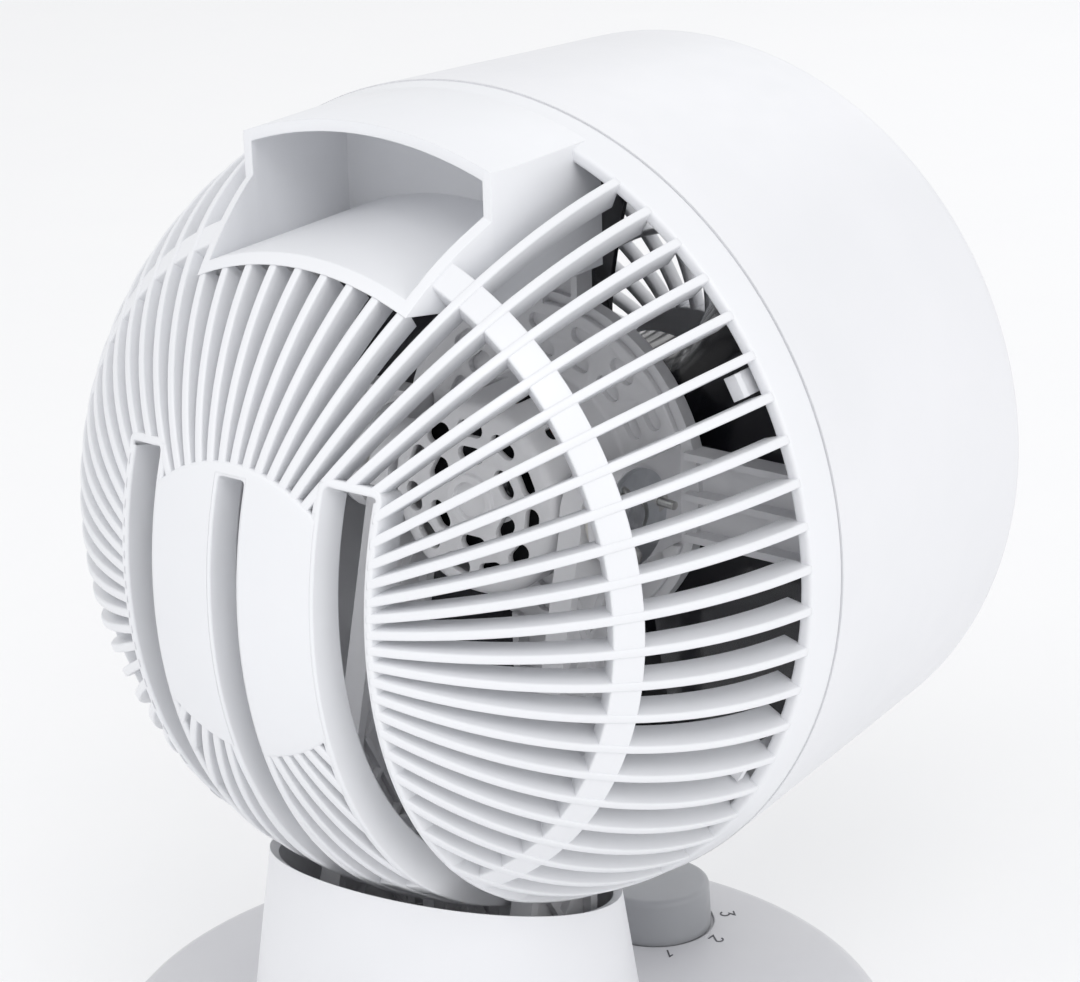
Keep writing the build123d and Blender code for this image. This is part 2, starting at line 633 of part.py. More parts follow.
NODES = {
    "base_cover": base_cover, "base_bottom_plate": base_bottom_plate, "rubber_feet": rubber_feet,
    "base_screws": base_screws, "ballast_plate": ballast_plate, "rotary_switch": rotary_switch,
    "switch_nut": switch_nut, "run_capacitor": run_capacitor, "terminal_block": terminal_block,
    "cord_gland": cord_gland, "dial_digits": dial_digits, "speed_knob": speed_knob,
    "knob_pointer": knob_pointer, "switch_shaft": switch_shaft, "neck_shell": neck_shell,
    "yoke_turret": yoke_turret, "yoke_arm_left": lambda: yoke_arm(-1),
    "yoke_arm_right": lambda: yoke_arm(1), "yoke_centre_plate": yoke_centre_plate,
    "yoke_screws": yoke_screws, "pivot_pins": pivot_pins, "friction_washers": friction_washers,
    "drum_shell": drum_shell, "rear_cover": rear_cover, "front_grille": front_grille,
    "front_cap": front_cap, "motor_frame": motor_frame, "motor_rear_cover": motor_rear_cover,
    "motor_stator": motor_stator, "motor_windings": motor_windings, "motor_end_bells": motor_end_bells,
    "bearings": bearings, "frame_screws": frame_screws, "pivot_bushes": pivot_bushes,
    "pivot_retainers": pivot_retainers, "pivot_screws": pivot_screws, "propeller": propeller,
    "spinner_nut": spinner_nut, "motor_shaft": motor_shaft, "motor_rotor": motor_rotor,
}

for name, make in NODES.items():
    save(make(), name)
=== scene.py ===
import json
import math

import bmesh
import bpy
from mathutils import Matrix, Vector


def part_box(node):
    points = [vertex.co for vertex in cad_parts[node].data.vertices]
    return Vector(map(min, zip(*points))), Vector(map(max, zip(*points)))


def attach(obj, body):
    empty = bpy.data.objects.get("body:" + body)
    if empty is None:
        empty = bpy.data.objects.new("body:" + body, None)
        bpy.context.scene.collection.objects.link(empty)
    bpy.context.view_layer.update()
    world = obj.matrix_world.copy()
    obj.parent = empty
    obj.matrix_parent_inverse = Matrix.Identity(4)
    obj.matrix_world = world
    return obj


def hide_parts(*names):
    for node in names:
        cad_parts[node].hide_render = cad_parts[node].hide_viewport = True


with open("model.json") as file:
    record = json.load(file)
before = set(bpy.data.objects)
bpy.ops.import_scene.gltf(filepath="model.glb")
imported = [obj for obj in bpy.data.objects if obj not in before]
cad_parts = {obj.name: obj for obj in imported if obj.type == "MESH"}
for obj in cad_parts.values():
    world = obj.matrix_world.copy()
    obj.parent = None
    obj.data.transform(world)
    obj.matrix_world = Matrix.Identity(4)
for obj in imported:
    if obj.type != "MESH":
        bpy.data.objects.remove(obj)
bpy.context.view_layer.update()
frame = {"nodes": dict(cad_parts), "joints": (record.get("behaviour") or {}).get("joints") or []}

# Looks of a globe circulator fan, in metres: +Z up, the air outlet faces -Y, the rib cage faces +Y.
# Lengths below are in millimetres and are turned to metres where a mesh is made.
# A head part is described from the tilt pivot: x across, s towards the rib cage, h up.
MM = 0.001
scene = bpy.context.scene
joints = {joint["name"]: joint for joint in frame["joints"]}
PIVOT = Vector(joints["head_tilt"]["pos_m"])
KNOB = Vector(joints["knob_turn"]["pos_m"])
neck_low, neck_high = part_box("neck_shell")
NECK_Y = (neck_low.y + neck_high.y) / 2

# rib cage
DOME_R, SEAM_S, RIM_END_S = 107.0, 6.3, 17.5
RIBS, RIB_T, RIB_IN_R, RIB_OUT_R = 62, 2.3, 98.5, 106.8
RING, RING_R = (51.4, 55.6), (100.6, 106.4)
PANEL_ANGLE = 20.2
SLOTS = ((25.0, 36.5, 19.7), (-36.5, -25.0, 19.7), (-4.0, 4.0, 18.2))
BORDER_T, BORDER_IN_R = 2.2, 97.0
RIB_END_DEG, RIB_STEP_DEG, RIB_MIN_DEG = 81.0, 0.2, 0.8
# A rib belongs to the grip's sector when, this far from the outlet axis, it lies within the grip's width.
RIB_TEST_R = 95.0
# The panel stops where the border's eased edge begins, so that no groove shows beside a slot.
PANEL_CUT = 0.72
# grip
GRIP_X, LIP_R, LIP_S, LIP_T = 38.5, 106.2, 48.5, 3.0
FLOOR_R, FLOOR_T, POCKET_S = 79.5, 2.5, 12.0
HOOD_TIP_X = GRIP_X - 10
# outlet grille, motor
GRILLE_S, GRILLE_DEPTH, VANES = -92.7, 5.6, 32
FRAME_S, CUP_R, CUP_END_S = (-25.0, -21.0), 26.0, 12.0
# finishes: widths of the slow tone drift and of the gloss clouds; vertices closer than WELD metres are one
DRIFT_MM, CLOUD_MM, WELD = 45, 9, 1e-6


# ---------------- small tools ----------------
def linear(code):
    """sRGB hex to the linear colour a shader wants."""
    parts = [int(code[i:i + 2], 16) / 255 for i in (1, 3, 5)]
    return (*[c / 12.92 if c <= 0.04045 else ((c + 0.055) / 1.055) ** 2.4 for c in parts], 1.0)


def add(tree, kind, feeds=None, **settings):
    """Adds one node with its settings; feeds gives each input a socket or a value."""
    node = tree.nodes.new(kind)
    for key, value in settings.items():
        setattr(node, key, value)
    for key, value in (feeds or {}).items():
        if isinstance(value, bpy.types.NodeSocket):
            tree.links.new(value, node.inputs[key])
        else:
            node.inputs[key].default_value = value
    return node


def make_object(name, mesh):
    obj = bpy.data.objects.new(name, mesh)
    scene.collection.objects.link(obj)
    return obj


def finish_mesh(bm, name):
    """Welds the vertices, turns every face outwards and gives the mesh."""
    bmesh.ops.remove_doubles(bm, verts=bm.verts, dist=WELD)
    bmesh.ops.recalc_face_normals(bm, faces=bm.faces)
    mesh = bpy.data.meshes.new(name)
    bm.to_mesh(mesh)
    bm.free()
    return mesh


def soften(obj, sharp_deg=32):
    """Shades the piece smooth, but for edges that turn by more than an angle."""
    for face in obj.data.polygons:
        face.use_smooth = True
    bm = bmesh.new()
    bm.from_mesh(obj.data)
    for edge in bm.edges:
        edge.smooth = not edge.is_manifold or edge.calc_face_angle(0) < math.radians(sharp_deg)
    bm.to_mesh(obj.data)
    bm.free()
    return obj


def settle(obj):
    """Makes the modifiers' result the object's own plain mesh."""
    graph = bpy.context.evaluated_depsgraph_get()
    graph.update()
    mesh = bpy.data.meshes.new_from_object(obj.evaluated_get(graph))
    obj.modifiers.clear()
    obj.data = mesh
    return obj


def rounded(points, radius, steps=4):
    """Closed outline with each corner eased; radius is one value or one for each corner."""
    radii = radius if isinstance(radius, (list, tuple)) else [radius] * len(points)
    out = []
    for i, corner in enumerate(points):
        p, a, b = Vector(corner), Vector(points[i - 1]), Vector(points[(i + 1) % len(points)])
        r = min(radii[i], (a - p).length * 0.45, (b - p).length * 0.45)
        if r <= 0:
            out.append(tuple(p))
            continue
        u, v = p + (a - p).normalized() * r, p + (b - p).normalized() * r
        for k in range(steps + 1):
            t = k / steps
            q = u * (1 - t) ** 2 + p * (2 * t * (1 - t)) + v * t ** 2
            out.append(tuple(q))
    return out


def lathe(name, outline, axis="Y", centre=PIVOT, steps=144, start=0.0, end=360.0):
    """Turns a closed (radius, along) outline in mm about an axis; angle 0 is up for X and Y."""
    bm = bmesh.new()
    closed = end - start >= 360
    count = steps if closed else steps + 1
    rings = []
    for k in range(count):
        a = math.radians(start + (end - start) * k / steps)
        ring = []
        for r, along in outline:
            c, s = r * math.cos(a), r * math.sin(a)
            place = {"Y": (s, along, c), "X": (along, s, c), "Z": (s, c, along)}[axis]
            ring.append(bm.verts.new(centre + Vector(place) * MM))
        rings.append(ring)
    for k in range(steps):
        one, two = rings[k], rings[(k + 1) % count]
        for i in range(len(outline)):
            j = (i + 1) % len(outline)
            if outline[i][0] < 1e-9 and outline[j][0] < 1e-9:
                continue
            corners = [one[i], one[j], two[j], two[i]]
            if outline[i][0] < 1e-9:
                corners = [one[i], one[j], two[j]]
            elif outline[j][0] < 1e-9:
                corners = [one[i], one[j], two[i]]
            bm.faces.new(corners)
    if not closed:
        bm.faces.new(rings[0])
        bm.faces.new(rings[-1])
    return make_object(name, finish_mesh(bm, name))


def prism(name, outline, low, high, axis, centre=PIVOT):
    """Straight solid from an outline in mm: (x, s) extruded along h, or (s, h) extruded along x."""
    bm = bmesh.new()
    ends = []
    for level in (low, high):
        spots = [(a, b, level) if axis == "Z" else (level, a, b) for a, b in outline]
        ends.append([bm.verts.new(centre + Vector(p) * MM) for p in spots])
    bm.faces.new(ends[0])
    bm.faces.new(ends[1])
    for i in range(len(outline)):
        j = (i + 1) % len(outline)
        bm.faces.new((ends[0][i], ends[0][j], ends[1][j], ends[1][i]))
    return make_object(name, finish_mesh(bm, name))


def carve(obj, tools, how="DIFFERENCE"):
    """Boolean with each tool in turn; the tools are used up."""
    for tool in tools:
        step = obj.modifiers.new(how, "BOOLEAN")
        step.operation, step.object, step.solver = how, tool, "EXACT"
        settle(obj)
        bpy.data.objects.remove(tool)
    return obj


def ease(obj, width, segments=2, angle=35, merge=0.002):
    """Rounds the sharp edges by a width in mm, as a mould maker does; merge clears slivers first."""
    bm = bmesh.new()
    bm.from_mesh(obj.data)
    bmesh.ops.remove_doubles(bm, verts=bm.verts, dist=merge * MM)
    bmesh.ops.dissolve_degenerate(bm, edges=bm.edges, dist=merge * MM)
    bmesh.ops.dissolve_limit(bm, angle_limit=math.radians(0.5), verts=bm.verts, edges=bm.edges)
    bm.to_mesh(obj.data)
    bm.free()
    step = obj.modifiers.new("ease", "BEVEL")
    step.width, step.segments, step.limit_method = width * MM, segments, "ANGLE"
    step.angle_limit = math.radians(angle)
    return soften(settle(obj))


def join(name, pieces):
    """One mesh from several; the pieces are used up."""
    bm = bmesh.new()
    for piece in pieces:
        bm.from_mesh(piece.data)
        bpy.data.objects.remove(piece)
    mesh = bpy.data.meshes.new(name)
    bm.to_mesh(mesh)
    bm.free()
    return make_object(name, mesh)


def dress(obj, finish, body, *stands_for):
    """Gives a finished piece its finish and its body, and hides the CAD nodes it stands for."""
    obj.data.materials.clear()
    obj.data.materials.append(FINISH[finish])
    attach(obj, body)
    if stands_for:
        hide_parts(*stands_for)
    return obj


# ---------------- finishes ----------------
def blank(name):
    """Empty material with its shader wired to the output."""
    mat = bpy.data.materials.new(name)
    mat.use_nodes = True
    tree = mat.node_tree
    tree.nodes.clear()
    skin = add(tree, "ShaderNodeBsdfPrincipled")
    add(tree, "ShaderNodeOutputMaterial", {"Surface": skin.outputs["BSDF"]})
    return mat, tree, skin


def moulded(name, colour, shade, rough, grain_mm, depth_mm, edge_mm=0.35, ior=1.54, coat=0.0):
    """Injection-moulded plastic: slow drift in tone, fine spark-eroded grain, softened edges."""
    mat, tree, skin = blank(name)
    place = add(tree, "ShaderNodeTexCoord").outputs["Object"]
    drift = add(tree, "ShaderNodeTexNoise", {"Vector": place, "Scale": 1 / (DRIFT_MM * MM),
                                             "Detail": 3.0})
    flow = add(tree, "ShaderNodeTexNoise", {"Vector": place, "Scale": 1 / (CLOUD_MM * MM),
                                            "Detail": 4.0, "Distortion": 0.6})
    tone = add(tree, "ShaderNodeMix", {0: drift.outputs[0], 6: linear(colour), 7: linear(shade)},
               data_type="RGBA")
    gloss = add(tree, "ShaderNodeMapRange", {"Value": flow.outputs[0], "From Min": 0.3, "From Max": 0.7,
                                             "To Min": rough - 0.05, "To Max": rough + 0.05})
    grain = add(tree, "ShaderNodeTexNoise", {"Vector": place, "Scale": 1 / (grain_mm * MM), "Detail": 2.0})
    edge = add(tree, "ShaderNodeBevel", {"Radius": edge_mm * MM}, samples=4)
    bump = add(tree, "ShaderNodeBump", {"Height": grain.outputs[0], "Strength": 0.6,
                                        "Distance": depth_mm * MM, "Normal": edge.outputs[0]})
    tree.links.new(tone.outputs[2], skin.inputs["Base Color"])
    tree.links.new(gloss.outputs[0], skin.inputs["Roughness"])
    tree.links.new(bump.outputs[0], skin.inputs["Normal"])
    skin.inputs["IOR"].default_value = ior
    skin.inputs["Coat Weight"].default_value = coat
    skin.inputs["Coat Roughness"].default_value = 0.12
    return mat


def metal(name, colour, shade, rough, line_mm, stretch, depth_mm=0.01):
    """Bare metal: streaks drawn along the direction in which stretch is small."""
    mat, tree, skin = blank(name)
    place = add(tree, "ShaderNodeTexCoord").outputs["Object"]
    run = add(tree, "ShaderNodeMapping", {"Vector": place, "Scale": stretch}, vector_type="POINT")
    streak = add(tree, "ShaderNodeTexNoise", {"Vector": run.outputs[0], "Scale": 1 / (line_mm * MM),
                                              "Detail": 3.0})
    tone = add(tree, "ShaderNodeMix", {0: streak.outputs[0], 6: linear(colour), 7: linear(shade)},
               data_type="RGBA")
    gloss = add(tree, "ShaderNodeMapRange", {"Value": streak.outputs[0], "From Min": 0.3, "From Max": 0.7,
                                             "To Min": rough - 0.07, "To Max": rough + 0.07})
    bump = add(tree, "ShaderNodeBump", {"Height": streak.outputs[0], "Strength": 0.4,
                                        "Distance": depth_mm * MM})
    tree.links.new(tone.outputs[2], skin.inputs["Base Color"])
    tree.links.new(gloss.outputs[0], skin.inputs["Roughness"])
    tree.links.new(bump.outputs[0], skin.inputs["Normal"])
    skin.inputs["Metallic"].default_value = 1.0
    return mat


def banded(name, colour, gap, pitch_mm, direction, rough, metallic, coat=0.0):
    """Wire or sheet stacked side by side: dark gaps between bands of a real pitch."""
    mat, tree, skin = blank(name)
    place = add(tree, "ShaderNodeTexCoord").outputs["Object"]
    # A wave texture repeats every 1/scale * 2 pi / 20 units.
    bands = add(tree, "ShaderNodeTexWave", {"Vector": place, "Scale": 2 * math.pi / (20 * pitch_mm * MM),
                                            "Distortion": 0.4, "Detail": 1.0}, bands_direction=direction)
    tone = add(tree, "ShaderNodeMix", {0: bands.outputs[1], 6: linear(gap), 7: linear(colour)},
               data_type="RGBA")
    bump = add(tree, "ShaderNodeBump", {"Height": bands.outputs[1], "Strength": 0.7,
                                        "Distance": pitch_mm * 0.3 * MM})
    tree.links.new(tone.outputs[2], skin.inputs["Base Color"])
    tree.links.new(bump.outputs[0], skin.inputs["Normal"])
    skin.inputs["Roughness"].default_value = rough
    skin.inputs["Metallic"].default_value = metallic
    skin.inputs["Coat Weight"].default_value = coat
    return mat


FINISH = {
    # ABS from a spark-eroded mould: matt, even white whose edges catch a soft line of light.
    "white_abs": moulded("moulded_white_abs", "#EDEDF0", "#E5E6E9", 0.40, 0.7, 0.012),
    # The same ABS from a polished cavity: the ribs keep a satin sheen.
    "white_grille": moulded("satin_white_abs_ribs", "#EDEEF1", "#E6E7EA", 0.36, 0.8, 0.010),
    # Pale grey ABS, finely textured, so the base reads a shade darker than the head.
    "grey_base": moulded("moulded_pale_grey_abs", "#D8D8DA", "#CFCFD3", 0.42, 0.6, 0.015),
    # Mid-grey ABS knob with a matt skin.
    "grey_knob": moulded("moulded_mid_grey_abs", "#A4A6A9", "#999A9E", 0.38, 0.6, 0.014, 0.5),
    # White ABS insert pressed into the knob.
    "pointer_white": moulded("white_abs_insert", "#F4F4F4", "#E8E8EA", 0.35, 0.5, 0.008, 0.15),
    # Pad-printed ink: dark, matt, very slightly uneven.
    "print_dark": moulded("pad_printed_dark_ink", "#4A4B50", "#5A5B60", 0.55, 0.25, 0.004, 0.03),
    # Unpolished white ABS of the inner mouldings: duller and a little warmer.
    "inner_white": moulded("matt_white_abs_inner", "#EAEAEC", "#DFDFE2", 0.46, 0.7, 0.016, 0.3),
    # Smoke-dark SAN blades from a polished mould: deep colour under a sharp clear gloss.
    "blade_charcoal": moulded("glossy_charcoal_san", "#1E1E24", "#2A2A31", 0.16, 6.0, 0.02, 0.3, 1.57, 0.6),
    # Compression-moulded rubber: dark, soft sheen, visible grain.
    "rubber_black": moulded("moulded_black_rubber", "#17171A", "#232326", 0.72, 0.5, 0.03, 0.4, 1.52),
    # Glass-filled nylon: near black with fine fibre speckle.
    "black_plastic": moulded("glass_filled_black_nylon", "#1B1B1E", "#2B2B2F", 0.5, 0.4, 0.02, 0.25, 1.53),
    # Nickel-plated steel: bright with a faint turned grain.
    "screw_steel": metal("nickel_plated_steel", "#DAD9D6", "#BDBCB9", 0.34, 0.6, (1, 1, 1)),
    # Ground steel bar: fine lines round the shaft.
    "shaft_steel": metal("ground_bright_steel", "#BFC0C2", "#9A9B9E", 0.20, 0.5, (0.2, 2.0, 0.2)),
    # Hot-rolled plate steel, darkened far below bare steel: painted shade, so the motor's end bells seen
    # through the cover's holes read as dark as the shaded inside of the cup; broad cloudy scale.
    "plate_steel": metal("rolled_plate_steel_painted_shade", "#3A3B3E", "#232427", 0.5, 9.0, (1, 0.3, 1), 0.05),
    # Stamped electrical-steel sheets stacked along the shaft; 0.5 mm sheets drawn 1 mm apart to show.
    "lamination_steel": banded("stacked_electrical_steel", "#8B8D92", "#3B3C40", 1.0, "Y", 0.4, 1.0),
    # Enamelled copper wire wound in layers; 0.3 mm wire drawn 0.8 mm apart to show.
    "copper_winding": banded("enamelled_copper_wire", "#B4622F", "#5A2B14", 0.8, "Y", 0.3, 0.9, 0.5),
    # Zinc-plated pressed steel with a faint crystalline cloud.
    "bracket_steel": metal("zinc_plated_steel", "#DADCDE", "#BEC1C5", 0.45, 5.0, (1, 1, 1), 0.02),
    # Machined acetal: waxy off-white.
    "acetal": moulded("machined_acetal", "#EDEBE4", "#E1DFD7", 0.36, 0.5, 0.01, 0.2, 1.48),
}
for node in frame["nodes"].values():
    slot_name = node.data.materials[0].name.split(".")[0]
    for i in range(len(node.data.materials)):
        node.data.materials[i] = FINISH[slot_name]


# ---------------- rules run by geometry nodes ----------------
def new_tree(name, inputs):
    """Node tree with one geometry input, named sizes and a finish."""
    tree = bpy.data.node_groups.new(name, "GeometryNodeTree")
    tree.interface.new_socket("Geometry", in_out="INPUT", socket_type="NodeSocketGeometry")
    keys = {}
    for label, kind in {**inputs, "Finish": "Material"}.items():
        socket = tree.interface.new_socket(label, in_out="INPUT", socket_type="NodeSocket" + kind)
        keys[label] = socket.identifier
    tree.interface.new_socket("Geometry", in_out="OUTPUT", socket_type="NodeSocketGeometry")
    return tree, add(tree, "NodeGroupInput").outputs, keys


def close_tree(tree, given, shape):
    solid = add(tree, "GeometryNodeRealizeInstances", {0: shape})
    smooth = add(tree, "GeometryNodeSetShadeSmooth", {0: solid.outputs[0]})
    paint = add(tree, "GeometryNodeSetMaterial", {0: smooth.outputs[0], "Material": given["Finish"]})
    add(tree, "NodeGroupOutput", {0: paint.outputs[0]})


def grow(name, tree, keys, base, **values):
    """Runs a tree on a base mesh and keeps the result as a plain mesh."""
    obj = make_object(name, base)
    step = obj.modifiers.new("rule", "NODES")
    step.node_group = tree
    for label, value in values.items():
        step[keys[label.replace("_", " ")]] = value
    return settle(obj)


def spots(name, places, **marks):
    """Bare points in metres, each with named numbers or vectors for a tree to read."""
    mesh = bpy.data.meshes.new(name)
    mesh.from_pydata([tuple(p) for p in places], [], [])
    for label, values in marks.items():
        vector = hasattr(values[0], "__len__")
        mark = mesh.attributes.new(label, "FLOAT_VECTOR" if vector else "FLOAT", "POINT")
        flat = [n for v in values for n in v] if vector else list(values)
        mark.data.foreach_set("vector" if vector else "value", flat)
    return mesh


# Ribs: an arc for each, from its start to its end angle off the rear pole, in the plane of its azimuth.
rib_tree, given, rib_keys = new_tree("dome_ribs", {
    "Mid radius": "Float", "Depth": "Float", "Thickness": "Float", "Edge radius": "Float", "Centre": "Vector",
    "Steps": "Int"})
unit = add(rib_tree, "GeometryNodeCurvePrimitiveLine", {"Start": (0, 0, 0), "End": (1, 0, 0)})
even = add(rib_tree, "GeometryNodeResampleCurve", {"Curve": unit.outputs[0], "Count": given["Steps"]})
laid = add(rib_tree, "GeometryNodeInstanceOnPoints", {"Points": given["Geometry"],
                                                      "Instance": even.outputs[0]})
loose = add(rib_tree, "GeometryNodeRealizeInstances", {0: laid.outputs[0]})
azimuth, first, last = (add(rib_tree, "GeometryNodeInputNamedAttribute", {"Name": label}, data_type="FLOAT")
                        .outputs[0] for label in ("azimuth", "first", "last"))
share = add(rib_tree, "GeometryNodeSplineParameter").outputs["Factor"]
polar = add(rib_tree, "ShaderNodeMix", {0: share, 2: first, 3: last}).outputs[0]
wave = {(key, op): add(rib_tree, "ShaderNodeMath", {0: angle}, operation=op).outputs[0]
        for key, angle in (("a", azimuth), ("p", polar)) for op in ("SINE", "COSINE")}
across = add(rib_tree, "ShaderNodeMath", {0: wave["p", "SINE"], 1: wave["a", "COSINE"]},
             operation="MULTIPLY")
upward = add(rib_tree, "ShaderNodeMath", {0: wave["p", "SINE"], 1: wave["a", "SINE"]}, operation="MULTIPLY")
ray = add(rib_tree, "ShaderNodeCombineXYZ", {0: across.outputs[0], 1: wave["p", "COSINE"],
                                             2: upward.outputs[0]})
reach = add(rib_tree, "ShaderNodeVectorMath", {0: ray.outputs[0], "Scale": given["Mid radius"]},
            operation="SCALE")
spot = add(rib_tree, "ShaderNodeVectorMath", {0: reach.outputs[0], 1: given["Centre"]}, operation="ADD")
arc = add(rib_tree, "GeometryNodeSetPosition", {"Geometry": loose.outputs[0], "Position": spot.outputs[0]})
minus = add(rib_tree, "ShaderNodeMath", {0: wave["a", "SINE"], 1: -1.0}, operation="MULTIPLY")
side = add(rib_tree, "ShaderNodeCombineXYZ", {0: minus.outputs[0], 2: wave["a", "COSINE"]})
aimed = add(rib_tree, "GeometryNodeSetCurveNormal", {"Curve": arc.outputs[0], "Normal": side.outputs[0]},
            mode="FREE")
section = add(rib_tree, "GeometryNodeCurvePrimitiveQuadrilateral", {"Width": given["Thickness"],
                                                                   "Height": given["Depth"]})
eased = add(rib_tree, "GeometryNodeFilletCurve", {"Curve": section.outputs[0], "Count": 3,
                                                  "Limit Radius": True, "Radius": given["Edge radius"]},
            mode="POLY")
swept = add(rib_tree, "GeometryNodeCurveToMesh", {"Curve": aimed.outputs[0], "Profile Curve": eased.outputs[0],
                                                  "Fill Caps": True})
close_tree(rib_tree, given, swept.outputs[0])

# Walls: a deep section swept along any line on the dome, its depth pointing at the dome's centre.
wall_tree, given, wall_keys = new_tree("dome_walls", {
    "Thickness": "Float", "Depth": "Float", "Edge radius": "Float", "Centre": "Vector"})
line = add(wall_tree, "GeometryNodeMeshToCurve", {0: given["Geometry"]})
along = add(wall_tree, "GeometryNodeInputTangent").outputs[0]
here = add(wall_tree, "GeometryNodeInputPosition").outputs[0]
outward = add(wall_tree, "ShaderNodeVectorMath", {0: here, 1: given["Centre"]}, operation="SUBTRACT")
# Walls stay square to the tilt axis, the way the mould opens, so the depth has no sideways part.
upright = add(wall_tree, "ShaderNodeVectorMath", {0: outward.outputs[0], 1: (0, 1, 1)}, operation="MULTIPLY")
side = add(wall_tree, "ShaderNodeVectorMath", {0: along, 1: upright.outputs[0]},
           operation="CROSS_PRODUCT")
unit = add(wall_tree, "ShaderNodeVectorMath", {0: side.outputs[0]}, operation="NORMALIZE")
aimed = add(wall_tree, "GeometryNodeSetCurveNormal", {"Curve": line.outputs[0], "Normal": unit.outputs[0]},
            mode="FREE")
section = add(wall_tree, "GeometryNodeCurvePrimitiveQuadrilateral", {"Width": given["Thickness"],
                                                                    "Height": given["Depth"]})
eased = add(wall_tree, "GeometryNodeFilletCurve", {"Curve": section.outputs[0], "Count": 4,
                                                   "Limit Radius": True, "Radius": given["Edge radius"]},
            mode="POLY")
swept = add(wall_tree, "GeometryNodeCurveToMesh", {"Curve": aimed.outputs[0], "Profile Curve": eased.outputs[0],
                                                   "Fill Caps": True})
close_tree(wall_tree, given, swept.outputs[0])

# Outlet vanes: one swept arc, repeated round the outlet.
vane_tree, given, vane_keys = new_tree("spiral_vanes", {
    "Count": "Int", "Depth": "Float", "Thickness": "Float", "Edge radius": "Float", "Centre": "Vector",
    "Start": "Vector", "Middle": "Vector", "End": "Vector"})
bow = add(vane_tree, "GeometryNodeCurveArc", {"Resolution": 20, "Start": given["Start"],
                                             "Middle": given["Middle"], "End": given["End"]}, mode="POINTS")
flat = add(vane_tree, "GeometryNodeSetCurveNormal", {"Curve": bow.outputs[0], "Normal": (0, 1, 0)}, mode="FREE")
section = add(vane_tree, "GeometryNodeCurvePrimitiveQuadrilateral", {"Width": given["Depth"],
                                                                    "Height": given["Thickness"]})
eased = add(vane_tree, "GeometryNodeFilletCurve", {"Curve": section.outputs[0], "Count": 2,
                                                   "Limit Radius": True, "Radius": given["Edge radius"]},
            mode="POLY")
swept = add(vane_tree, "GeometryNodeCurveToMesh", {"Curve": flat.outputs[0], "Profile Curve": eased.outputs[0],
                                                   "Fill Caps": True})
ring = add(vane_tree, "GeometryNodePoints", {"Count": given["Count"], "Position": given["Centre"]})
order = add(vane_tree, "GeometryNodeInputIndex").outputs[0]
pitch = add(vane_tree, "ShaderNodeMath", {0: 2 * math.pi, 1: given["Count"]}, operation="DIVIDE")
turn = add(vane_tree, "ShaderNodeMath", {0: order, 1: pitch.outputs[0]}, operation="MULTIPLY")
aim = add(vane_tree, "ShaderNodeCombineXYZ", {1: turn.outputs[0]})
laid = add(vane_tree, "GeometryNodeInstanceOnPoints", {"Points": ring.outputs[0],
                                                       "Instance": swept.outputs[0],
                                                       "Rotation": aim.outputs[0]})
close_tree(vane_tree, given, laid.outputs[0])

# Perforations: a pill-shaped cutter at each point, taken out of the body in one go.
hole_tree, given, hole_keys = new_tree("pill_holes", {"Length": "Float", "Width": "Float", "Depth": "Float",
                                                      "Body": "Object"})
section = add(hole_tree, "GeometryNodeCurvePrimitiveQuadrilateral", {"Width": given["Length"],
                                                                    "Height": given["Width"]})
half = add(hole_tree, "ShaderNodeMath", {0: given["Width"], 1: 0.499}, operation="MULTIPLY")
eased = add(hole_tree, "GeometryNodeFilletCurve", {"Curve": section.outputs[0], "Count": 5,
                                                   "Limit Radius": True, "Radius": half.outputs[0]},
            mode="POLY")
stem = add(hole_tree, "ShaderNodeCombineXYZ", {2: given["Depth"]})
drop = add(hole_tree, "ShaderNodeVectorMath", {0: stem.outputs[0], "Scale": -0.5}, operation="SCALE")
rise = add(hole_tree, "ShaderNodeVectorMath", {0: stem.outputs[0], "Scale": 0.5}, operation="SCALE")
path = add(hole_tree, "GeometryNodeCurvePrimitiveLine", {"Start": drop.outputs[0], "End": rise.outputs[0]})
held = add(hole_tree, "GeometryNodeSetCurveNormal", {"Curve": path.outputs[0], "Normal": (1, 0, 0)},
           mode="FREE")
pill = add(hole_tree, "GeometryNodeCurveToMesh", {"Curve": held.outputs[0], "Profile Curve": eased.outputs[0],
                                                  "Fill Caps": True})
aim = add(hole_tree, "GeometryNodeInputNamedAttribute", {"Name": "aim"}, data_type="FLOAT_VECTOR")
cutters = add(hole_tree, "GeometryNodeInstanceOnPoints", {"Points": given["Geometry"],
                                                         "Instance": pill.outputs[0],
                                                         "Rotation": aim.outputs[0]})
body_in = add(hole_tree, "GeometryNodeObjectInfo", {"Object": given["Body"]})
cutter_mesh = add(hole_tree, "GeometryNodeRealizeInstances", {0: cutters.outputs[0]})
punched = add(hole_tree, "GeometryNodeMeshBoolean", {"Mesh 1": body_in.outputs["Geometry"],
                                                     "Mesh 2": cutter_mesh.outputs[0]},
              operation="DIFFERENCE", solver="EXACT")
close_tree(hole_tree, given, punched.outputs["Mesh"])

# Fasteners: one screw, stood at each point along its aim.
screw_tree, given, screw_keys = new_tree("screw_set", {"Screw": "Object"})
aim = add(screw_tree, "GeometryNodeInputNamedAttribute", {"Name": "aim"}, data_type="FLOAT_VECTOR")
one = add(screw_tree, "GeometryNodeObjectInfo", {"Object": given["Screw"]})
stood = add(screw_tree, "GeometryNodeInstanceOnPoints", {"Points": given["Geometry"],
                                                        "Instance": one.outputs["Geometry"],
                                                        "Rotation": aim.outputs[0]})
close_tree(screw_tree, given, stood.outputs[0])


# ---------------- rib cage ----------------
def in_slot(x, s, h, margin):
    """True where a slot, widened by a margin in mm, has taken the dome away."""
    for left, right, top in SLOTS:
        below = math.degrees(math.atan2(h, s)) < top + math.degrees(margin / DOME_R)
        if below and left - margin < x < right + margin:
            return True
    return False


